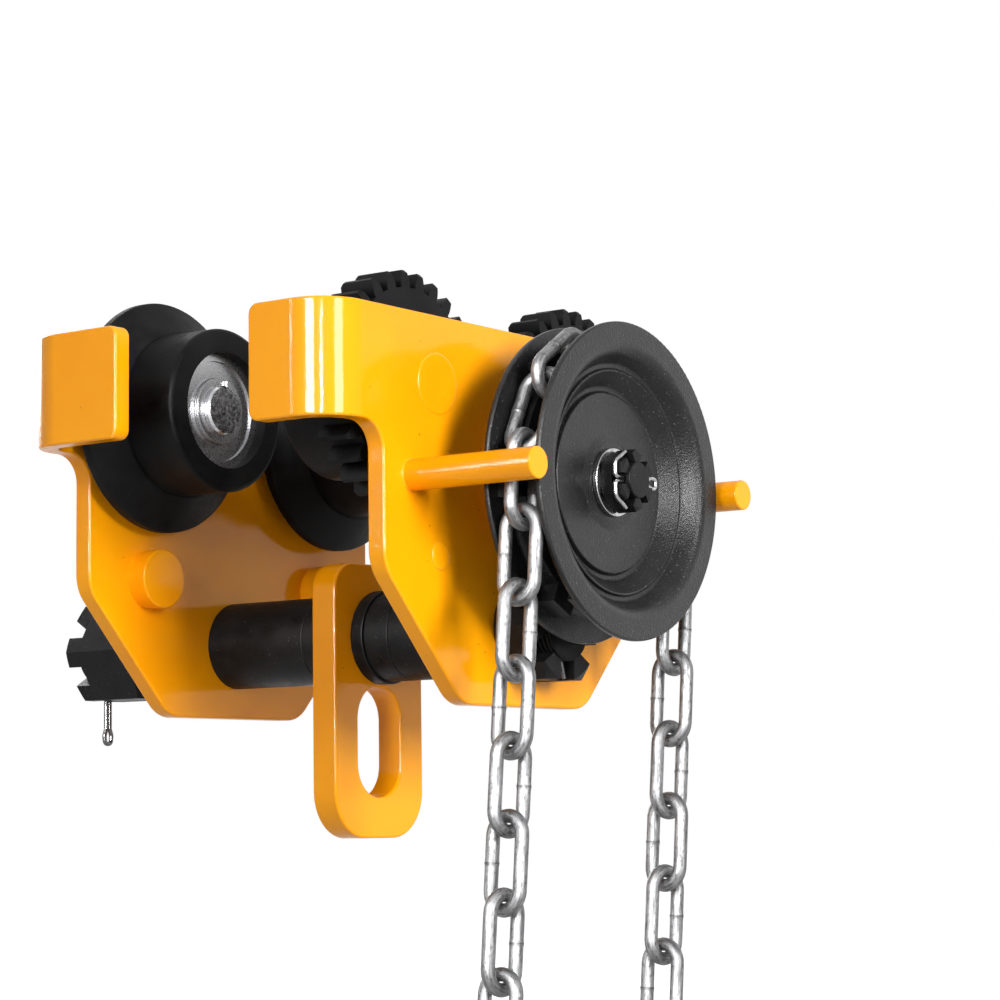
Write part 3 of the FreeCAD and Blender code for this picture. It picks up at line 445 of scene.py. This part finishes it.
def add_piece(name: str, vertices: np.ndarray, quads: np.ndarray, finish: bpy.types.Material,
              body: str) -> bpy.types.Object:
    """Make a smooth mesh piece that rides on a body.

    Args:
        name: the piece's name.
        vertices: points in metres, one row each.
        quads: corner numbers of each face, counter-clockwise from outside.
        finish: its material.
        body: the body that it moves with.

    Returns:
        The new object.
    """
    mesh = bpy.data.meshes.new(name)
    mesh.from_pydata(vertices, [], quads)
    mesh.polygons.foreach_set("use_smooth", np.ones(len(quads), dtype=bool))
    mesh.materials.append(finish)
    mesh.update()
    piece = bpy.data.objects.new(name, mesh)
    bpy.context.scene.collection.objects.link(piece)
    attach(piece, body)
    LOG.info("%s: %d faces on %s", name, len(quads), body)
    return piece


def grid_quads(rows: int, columns: int, closed_rows: bool) -> np.ndarray:
    """Faces of a grid of points whose columns close into a ring.

    Args:
        rows: points along the grid.
        columns: points round the grid.
        closed_rows: whether the last row joins the first.

    Returns:
        Corner numbers, four for each face.
    """
    row = np.arange(rows if closed_rows else rows - 1)[:, None]
    column = np.arange(columns)[None, :]
    after_row = (row + 1) % rows
    after_column = (column + 1) % columns
    corners = (row * columns + column, row * columns + after_column,
               after_row * columns + after_column, after_row * columns + column)
    return np.stack([np.broadcast_to(c, (row.size, columns)) for c in corners], axis=-1).reshape(-1, 4)


def turned_on_y(profile: np.ndarray, centres: np.ndarray, columns: int) -> tuple[np.ndarray, np.ndarray]:
    """Copies of one turned shape about axes along Y.

    A point is (x + r cos a, y, z + r sin a) for each (r, y) of the profile and each angle a.

    Args:
        profile: (radius, y) rows, in the order that makes faces point outwards.
        centres: (x, z) of each copy's axis.
        columns: points round each copy.

    Returns:
        The vertices and the faces.
    """
    angle = np.linspace(0.0, 2.0 * np.pi, columns, endpoint=False)
    radius, along = profile[:, 0, None], profile[:, 1, None]
    ring = np.stack(np.broadcast_arrays(radius * np.cos(angle), along, radius * np.sin(angle)), axis=-1)
    offset = np.stack([centres[:, 0], np.zeros(len(centres)), centres[:, 1]], axis=-1)
    points = ring.reshape(1, -1, 3) + offset[:, None, :]
    quads = grid_quads(len(profile), columns, False)
    copies = np.arange(len(centres))[:, None, None] * (len(profile) * columns)
    return points.reshape(-1, 3), (quads[None] + copies).reshape(-1, 4)


@dataclass
class SidePlates:
    """What lies on the outer faces of the two bent plates: painted rivet ends and welds.

    Lengths are in metres. The rim's slope is its width over the rivet's rise, and the rivet's middle and flat
    are shares of its radius.
    """

    outer_face: float = 0.079
    axle_half_spacing: float = JOINT_AT["geared_roller_right_spin"][0]
    axle_z: float = JOINT_AT["geared_roller_right_spin"][2]
    axle_rivet_r: float = 0.012
    axle_rivet_rise: float = 0.0004
    stud_half_spacing: float = 0.054
    stud_z: float = -0.0327
    stud_rivet_r: float = 0.0055
    stud_rivet_rise: float = 0.0007
    rod_half_spacing: float = 0.0712
    rod_r: float = 0.006
    boss_r: float = 0.020
    rod_weld_leg: float = 0.0007
    boss_weld_leg: float = 0.0016
    weld_sink: float = 0.0001
    rim_slope: float = 3.0
    rivet_middle: float = 0.002
    rivet_flat: float = 0.5
    arc_points: int = 9
    rivet_columns: int = 48
    weld_columns: int = 72

    def build(self, paint: bpy.types.Material) -> None:
        """Add the painted rivet ends and the welds round the rods and the drive boss.

        Args:
            paint: the plates' paint.
        """
        axles = self.pair(self.axle_half_spacing, self.axle_z)
        studs = self.pair(self.stud_half_spacing, self.stud_z)
        for side in Side:
            word = side.name.lower()
            self.rivets(word + "_axle_rivets", side, axles, self.axle_rivet_r, self.axle_rivet_rise, paint)
            self.rivets(word + "_stud_rivets", side, studs, self.stud_rivet_r, self.stud_rivet_rise, paint)
        rods = self.pair(self.rod_half_spacing, DRIVE_Z)
        self.weld("guide_rod_welds", rods, self.rod_r, self.rod_weld_leg, paint)
        boss = np.array([[0.0, DRIVE_Z]])
        self.weld("drive_boss_weld", boss, self.boss_r, self.boss_weld_leg, paint)

    @staticmethod
    def pair(half_spacing: float, z: float) -> np.ndarray:
        """Axes at both ends, as (x, z) rows."""
        return np.array([[end.value * half_spacing, z] for end in End])

    def rivets(self, name: str, side: Side, centres: np.ndarray, radius: float, rise: float,
               paint: bpy.types.Material) -> None:
        """Low flat-topped domes on a plate's outer face.

        The rim is a quarter ellipse: r = R - e + e sin t and y = h cos t, with e a few times the rise h.

        Args:
            name: the piece's name.
            side: the plate.
            centres: (x, z) of each rivet.
            radius: rim radius.
            rise: height over the plate.
            paint: the plates' paint.
        """
        turn = np.linspace(0.0, np.pi / 2, self.arc_points)
        edge = self.rim_slope * rise
        rim = radius - edge + edge * np.sin(turn)
        radii = np.concatenate([[radius * self.rivet_middle, radius * self.rivet_flat], rim])
        lift = np.concatenate([[rise, rise], rise * np.cos(turn)])
        profile = np.stack([radii, side.value * (self.outer_face + lift)], axis=-1)
        if side is Side.FRONT:
            profile = profile[::-1]
        vertices, quads = turned_on_y(profile, centres, self.rivet_columns)
        add_piece(name, vertices, quads, paint, "frame")

    def weld(self, name: str, centres: np.ndarray, radius: float, leg: float,
             paint: bpy.types.Material) -> None:
        """Fillet weld between the front plate and something round.

        The bead is a quarter circle of radius g that bulges from the plate to the bar, sunk a little into
        both: r = R + g cos t and y = -(Y + g sin t).

        Args:
            name: the piece's name.
            centres: (x, z) of each bar.
            radius: the bar's radius.
            leg: how far the bead reaches along the plate and the bar.
            paint: the plates' paint.
        """
        turn = np.linspace(0.0, np.pi / 2, self.arc_points)
        radii = radius - 2 * self.weld_sink + leg * np.cos(turn)
        profile = np.stack([radii, -(self.outer_face - self.weld_sink + leg * np.sin(turn))], axis=-1)
        vertices, quads = turned_on_y(profile, centres, self.weld_columns)
        add_piece(name, vertices, quads, paint, "frame")


@dataclass
class HandChain:
    """Endless chain of welded links that hangs from the hand wheel.

    Lengths are in metres, and lean, phase and twist in degrees. The weld's swell is a share of the wire's
    radius.
    """

    wire_r: float = 0.0026
    inner_length: float = 0.0288
    inner_width: float = 0.0094
    run_slack: float = 0.0005
    turn_slack: float = 0.0012
    run_links: int = 8
    pockets: int = 6
    lean: float = 5.7
    phase: float = 8.7
    twist: float = 9.0
    plane_y: float = -0.1175
    weld_swell: float = 0.07
    weld_width: float = 0.0008
    seam_width: float = 0.0003
    weld_step: float = 0.0002
    weld_steps: int = 6
    streaks_apart: float = 0.05
    path_points: int = 64
    round_points: int = 16

    def link(self) -> tuple[np.ndarray, np.ndarray, np.ndarray]:
        """One link about the origin, long in Z and wide in X.

        The path is two straight legs and two half circles, walked evenly, with finer steps at the weld. The
        wire's circle stands across it, and swells by a narrow bell curve at the weld, in the middle of a leg.
        The wire's own coordinates are the distance from the far side along the path and the two across it.

        Returns:
            Points and the wire's own coordinates as (path, round, 3), and closeness to the weld.
        """
        bend = self.inner_width / 2 + self.wire_r
        leg = self.inner_length - self.inner_width
        arc = np.pi * bend
        total = 2 * (leg + arc)
        even = np.linspace(0.0, total, self.path_points, endpoint=False)
        fine = self.weld_step * np.arange(-self.weld_steps, self.weld_steps + 1)
        pace = np.union1d(even, leg / 2 + fine)
        on_right = pace < leg
        on_top = (pace >= leg) & (pace < leg + arc)
        on_left = (pace >= leg + arc) & (pace < 2 * leg + arc)
        stretches = [on_right, on_top, on_left]
        angle = np.select(stretches, [0.0, (pace - leg) / bend, np.pi], np.pi + (pace - 2 * leg - arc) / bend)
        height = np.select(stretches, [pace - leg / 2, leg / 2, leg * 1.5 + arc - pace], -leg / 2)
        outward = np.stack([np.cos(angle), np.zeros_like(angle), np.sin(angle)], axis=-1)
        centre = outward * bend + np.stack([np.zeros_like(height), np.zeros_like(height), height], axis=-1)
        swell = self.wire_r * (1.0 + self.weld_swell * np.exp(-((pace - leg / 2) / self.weld_width) ** 2))
        turn = np.linspace(0.0, 2.0 * np.pi, self.round_points, endpoint=False)
        across = np.array([0.0, 1.0, 0.0])
        ring = outward[:, None, :] * np.cos(turn)[None, :, None] + across * np.sin(turn)[None, :, None]
        wire = np.stack(np.broadcast_arrays(np.abs(pace - total / 2)[:, None], self.wire_r * np.cos(turn),
                                            self.wire_r * np.sin(turn)), axis=-1)
        seam = np.exp(-((pace - leg / 2) / self.seam_width) ** 2)
        seam = np.repeat(seam[:, None], self.round_points, axis=1)
        return centre[:, None, :] + ring * swell[:, None, None], wire, seam

    def places(self) -> tuple[np.ndarray, np.ndarray, np.ndarray]:
        """Where each link lies round the loop, before the loop leans.

        Links over the wheel and at the foot are chords, one pitch long, of a circle that the joints lie on,
        turned by the phase. The runs hang straight down from the outermost joint on either side.

        Returns:
            Centres as (x, z), headings and turns about their own length, in degrees.
        """
        run_pitch = self.inner_length - self.run_slack
        turn_pitch = self.inner_length - self.turn_slack
        step = np.pi / (2 * self.pockets)
        phase = math.radians(self.phase)
        k = np.arange(self.pockets)
        over = phase + 2 * step * k
        top = np.stack([np.cos(over), np.sin(over)], axis=-1) * turn_pitch / (2 * math.tan(step))
        foot = np.array([0.0, -self.run_links * run_pitch]) - top
        j = np.arange(self.run_links)
        joint = np.array([math.cos(phase - step), math.sin(phase - step)]) * turn_pitch / (2 * math.sin(step))
        drop = np.stack([np.zeros(j.size), -(j + 0.5) * run_pitch], axis=-1)
        runs = [end.value * joint + drop for end in End]
        headings = np.concatenate([np.degrees(over), 180.0 + np.degrees(over), np.zeros(2 * j.size)])
        upright = np.concatenate([k % 2 == 0, (k + self.run_links) % 2 == 0, j % 2 == 0, j % 2 == 1])
        stance = np.where(upright, Stance.UPRIGHT.value, Stance.FLAT.value)
        stance[2 * k.size:] -= np.tile(self.twist * np.sin(np.pi * j / self.run_links), 2)
        return np.concatenate([top, foot, *runs]), headings, stance

    def build(self, zinc: bpy.types.Material) -> None:
        """Make the loop, each link turned by its stance, its heading and the lean, then moved to its place.

        Args:
            zinc: the chain's plating.
        """
        points, wire, seam = self.link()
        link = points.reshape(-1, 3)
        centres, headings, stances = self.places()
        turned = np.einsum("nij,pj->npi", spin_z(stances), link)
        turned = np.einsum("nij,npj->npi", spin_y(-headings), turned)
        turned += np.stack([centres[:, 0], np.zeros(len(centres)), centres[:, 1]], axis=-1)[:, None, :]
        points = np.einsum("ij,npj->npi", spin_y(np.array([self.lean]))[0], turned)
        points += np.array([0.0, self.plane_y, DRIVE_Z])
        quads = grid_quads(len(wire), self.round_points, True)[:, ::-1]
        copies = np.arange(len(centres))[:, None, None] * len(link)
        chain = add_piece("hand_chain_links", points.reshape(-1, 3), (quads[None] + copies).reshape(-1, 4),
                          zinc, "frame")
        apart = np.zeros((len(centres), 1, 3))
        apart[:, 0, 1] = self.streaks_apart * np.arange(len(centres))
        along = chain.data.attributes.new("wire", "FLOAT_VECTOR", "POINT")
        along.data.foreach_set("vector", (wire.reshape(1, -1, 3) + apart).ravel())
        weld = chain.data.attributes.new("weld", "FLOAT", "POINT")
        weld.data.foreach_set("value", np.tile(seam.ravel(), len(centres)))
        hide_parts("hand_chain")


def spin_y(degrees: np.ndarray) -> np.ndarray:
    """Rotations about +Y.

    Args:
        degrees: the angles.

    Returns:
        One matrix for each angle.
    """
    a = np.radians(degrees)
    zero, one = np.zeros_like(a), np.ones_like(a)
    rows = [[np.cos(a), zero, np.sin(a)], [zero, one, zero], [-np.sin(a), zero, np.cos(a)]]
    return np.moveaxis(np.array(rows), -1, 0)


def spin_z(degrees: np.ndarray) -> np.ndarray:
    """Rotations about +Z.

    Args:
        degrees: the angles.

    Returns:
        One matrix for each angle.
    """
    a = np.radians(degrees)
    zero, one = np.zeros_like(a), np.ones_like(a)
    rows = [[np.cos(a), -np.sin(a), zero], [np.sin(a), np.cos(a), zero], [zero, zero, one]]
    return np.moveaxis(np.array(rows), -1, 0)


@dataclass
class Finishes:
    """Every finish of the trolley, and which node wears which."""

    paint: GlossPaint = GlossPaint("yellow_paint")
    roller: BlackCoat = BlackCoat("black_iron", speck_and_glint_from=0.80)
    steel: BlackCoat = BlackCoat("black_steel", speck_and_glint_from=0.73, grain=0.0008, depth=0.00010, shine=0.09)
    thread: BlackCoat = BlackCoat("threaded_steel", speck_and_glint_from=0.80, thread_pitch=0.002, thread_from=0.075)
    # The wheel's light specks come more often: partly painted glints in its lit bands
    wheel: BlackCoat = BlackCoat("wheel_iron", dark=(0.0045, 0.0045, 0.0046), light=(0.0085, 0.0085, 0.0087),
                                 speck_and_glint_from=0.69, grain=0.0007, depth=0.00020, roughness=(0.28, 0.38),
                                 shine=0.26)
    zinc: BareMetal = BareMetal("bright_zinc", (0.40, 0.40, 0.405), (0.26, 0.26, 0.265))
    pin: BareMetal = BareMetal("pin_steel", (0.13, 0.13, 0.133), (0.07, 0.07, 0.072))
    chain: DrawnWire = DrawnWire("chain_zinc")
    bearing: BareMetal = BareMetal("bearing_steel", (0.52, 0.52, 0.53), (0.44, 0.44, 0.45), grain=0.0006,
                                   depth=0.000004, roughness=(0.24, 0.34))
    axle: BareMetal = BareMetal("axle_steel", (0.50, 0.50, 0.51), (0.38, 0.38, 0.39), (1.0, 8.0, 1.0))
    bronze: BareMetal = BareMetal("bush_bronze", (0.62, 0.40, 0.16), (0.42, 0.26, 0.10), (1.0, 6.0, 1.0))

    def dress(self) -> dict[str, bpy.types.Material]:
        """Give every node the finish of its material slot, and the threaded shaft and its pins their own.

        Returns:
            The materials by name.
        """
        finishes = (self.paint, self.roller, self.steel, self.thread, self.wheel, self.zinc, self.pin,
                    self.chain, self.bearing, self.axle, self.bronze)
        made = {finish.name: finish.material() for finish in finishes}
        for part in frame["record"]["subparts"]:
            mesh = frame["nodes"][part["node"]].data
            mesh.materials.clear()
            mesh.materials.append(made[OWN_FINISH.get(part["node"], part["material_slot"])])
        LOG.info("dressed %d nodes", len(frame["nodes"]))
        return made


@dataclass
class Softbox:
    """Rectangular studio lamp that looks at a point of the trolley. A glint shows in reflections alone."""

    name: str
    place: Point
    aim: Point
    size: Span
    watts: float
    glint: bool = False

    def build(self) -> None:
        """Add the lamp, turned so that its -Z points at its aim."""
        lamp = bpy.data.lights.new(self.name, "AREA")
        lamp.shape = "RECTANGLE"
        lamp.size, lamp.size_y = self.size
        lamp.energy = self.watts
        holder = bpy.data.objects.new(self.name, lamp)
        holder.visible_diffuse = not self.glint
        back = np.array(self.place) - np.array(self.aim)
        back /= np.linalg.norm(back)
        right = np.cross((0.0, 0.0, 1.0), back)
        right /= np.linalg.norm(right)
        holder.matrix_world = pose(right, np.cross(back, right), back, self.place)
        bpy.context.scene.collection.objects.link(holder)


def pose(right: np.ndarray, up: np.ndarray, back: np.ndarray, place: Point) -> Matrix:
    """Set an object's own axes and its place.

    Args:
        right: direction of its X.
        up: direction of its Y.
        back: direction of its Z.
        place: where it stands.

    Returns:
        The object's matrix.
    """
    rows = np.eye(4)
    rows[:3] = np.column_stack([right, up, back, place])
    return Matrix(rows.tolist())


@dataclass
class Studio:
    """Pale floor, white surroundings, softboxes and the camera.

    Lengths are in metres, angles in degrees, and the lens and sensor in millimetres.
    """

    floor_z: float = -0.296
    floor_half: float = 9.0
    floor_grey: Colour = (0.45, 0.45, 0.45)
    floor_roughness: float = 0.9
    glow_reach: Span = (0.7, 1.7)
    glow: Span = (0.62, 1.0)
    white: Colour = (1.0, 1.0, 1.0)
    surround: float = 0.13
    camera_place: Point = (-0.89626, -0.719, -0.1303)
    yaw: float = 36.0046
    pitch: float = 6.3976
    roll: float = -0.7762
    lens: float = 101.365
    sensor: float = 36.0
    near: float = 0.01

    def build(self) -> None:
        """Set the floor, the world, the lamps and the camera."""
        self.floor()
        self.world()
        lamps = (
            Softbox("key_softbox", (-0.53, -1.98, 0.45), (0.0, -0.05, -0.02), (0.65, 0.85), 55.0),
            Softbox("left_softbox", (-1.90, -0.40, 0.35), (0.0, -0.05, 0.0), (0.5, 0.9), 16.0),
            Softbox("right_softbox", (1.60, -0.90, 0.40), (0.0, -0.05, -0.02), (0.9, 1.2), 3.5),
            Softbox("rear_softbox", (0.70, 1.90, 0.80), (0.0, 0.05, -0.02), (1.0, 1.0), 26.0),
            Softbox("top_softbox", (0.0, 0.1, 1.6), (0.0, 0.0, 0.0), (1.2, 1.2), 4.0),
            Softbox("left_glint", (-1.88, -0.40, 0.35), (0.0, -0.05, 0.0), (0.6, 0.9), 90.0, glint=True),
            Softbox("front_left_strip", (-1.48, -1.10, 0.30), (0.0, -0.1, 0.0), (0.03, 1.0), 48.0,
                    glint=True),
            Softbox("rear_left_strip", (-1.15, 0.65, 0.45), (-0.1, -0.1, 0.0), (0.04, 1.1), 9.0, glint=True),
        )
        for lamp in lamps:
            lamp.build()
        self.camera()

    def floor(self) -> None:
        """Flat square floor, partly lit by itself, and fully so further out where no shadow falls."""
        grid = np.array([[-1.0, -1.0], [1.0, -1.0], [1.0, 1.0], [-1.0, 1.0]]) * self.floor_half
        corners = np.column_stack([grid, np.full(4, self.floor_z)])
        mesh = bpy.data.meshes.new("studio_floor")
        mesh.from_pydata(corners, [], [(0, 1, 2, 3)])
        graph = Graph("studio_floor")
        east, north = (graph.math("POWER", graph.axis(index), 2.0) for index in (0, 1))
        reach = graph.math("SQRT", graph.math("ADD", east, north))
        glow = graph.math("MULTIPLY", graph.shown(), graph.span(reach, *self.glow_reach, *self.glow))
        graph.surface(Base_Color=self.floor_grey, Roughness=self.floor_roughness, Specular_IOR_Level=0.0,
                      Emission_Color=self.white, Emission_Strength=glow)
        mesh.materials.append(graph.material)
        floor = bpy.data.objects.new("studio_floor", mesh)
        bpy.context.scene.collection.objects.link(floor)

    def world(self) -> None:
        """White to the camera and in reflections, and softer as a light."""
        world = bpy.data.worlds.new("studio_world")
        bpy.context.scene.world = world
        world.use_nodes = True
        nodes, links = world.node_tree.nodes, world.node_tree.links
        path = nodes.new("ShaderNodeLightPath")
        mirrored = nodes.new("ShaderNodeMath")
        mirrored.operation = "MAXIMUM"
        links.new(path.outputs["Is Glossy Ray"], mirrored.inputs[0])
        links.new(path.outputs["Is Transmission Ray"], mirrored.inputs[1])
        seen = nodes.new("ShaderNodeMath")
        seen.operation = "MAXIMUM"
        links.new(path.outputs["Is Camera Ray"], seen.inputs[0])
        links.new(mirrored.outputs[0], seen.inputs[1])
        level = nodes.new("ShaderNodeMapRange")
        level.inputs["To Min"].default_value = self.surround
        level.inputs["To Max"].default_value = 1.0
        links.new(seen.outputs[0], level.inputs["Value"])
        background = nodes["Background"]
        background.inputs["Color"].default_value = (*self.white, 1.0)
        links.new(level.outputs[0], background.inputs["Strength"])

    def camera(self) -> None:
        """Camera from its place, yaw from +X, pitch and roll in degrees."""
        yaw, pitch, roll = (math.radians(part) for part in (self.yaw, self.pitch, self.roll))
        level = np.array([math.cos(yaw), math.sin(yaw), 0.0])
        side = np.array([math.sin(yaw), -math.cos(yaw), 0.0])
        ahead = level * math.cos(pitch) + np.array([0.0, 0.0, math.sin(pitch)])
        over = np.cross(side, ahead)
        right = side * math.cos(roll) + over * math.sin(roll)
        lens = bpy.data.cameras.new("photo_camera")
        lens.lens = self.lens
        lens.sensor_width = self.sensor
        lens.clip_start = self.near
        holder = bpy.data.objects.new("photo_camera", lens)
        holder.matrix_world = pose(right, np.cross(right, ahead), -ahead, self.camera_place)
        bpy.context.scene.collection.objects.link(holder)
        bpy.context.scene.camera = holder


def main() -> None:
    """Dress the frame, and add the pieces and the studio."""
    logging.basicConfig(level=logging.INFO)
    bpy.context.scene.view_settings.view_transform = "Standard"
    made = Finishes().dress()
    SidePlates().build(made["yellow_paint"])
    HandChain().build(made["chain_zinc"])
    Studio().build()


if __name__ == "__main__":
    main()
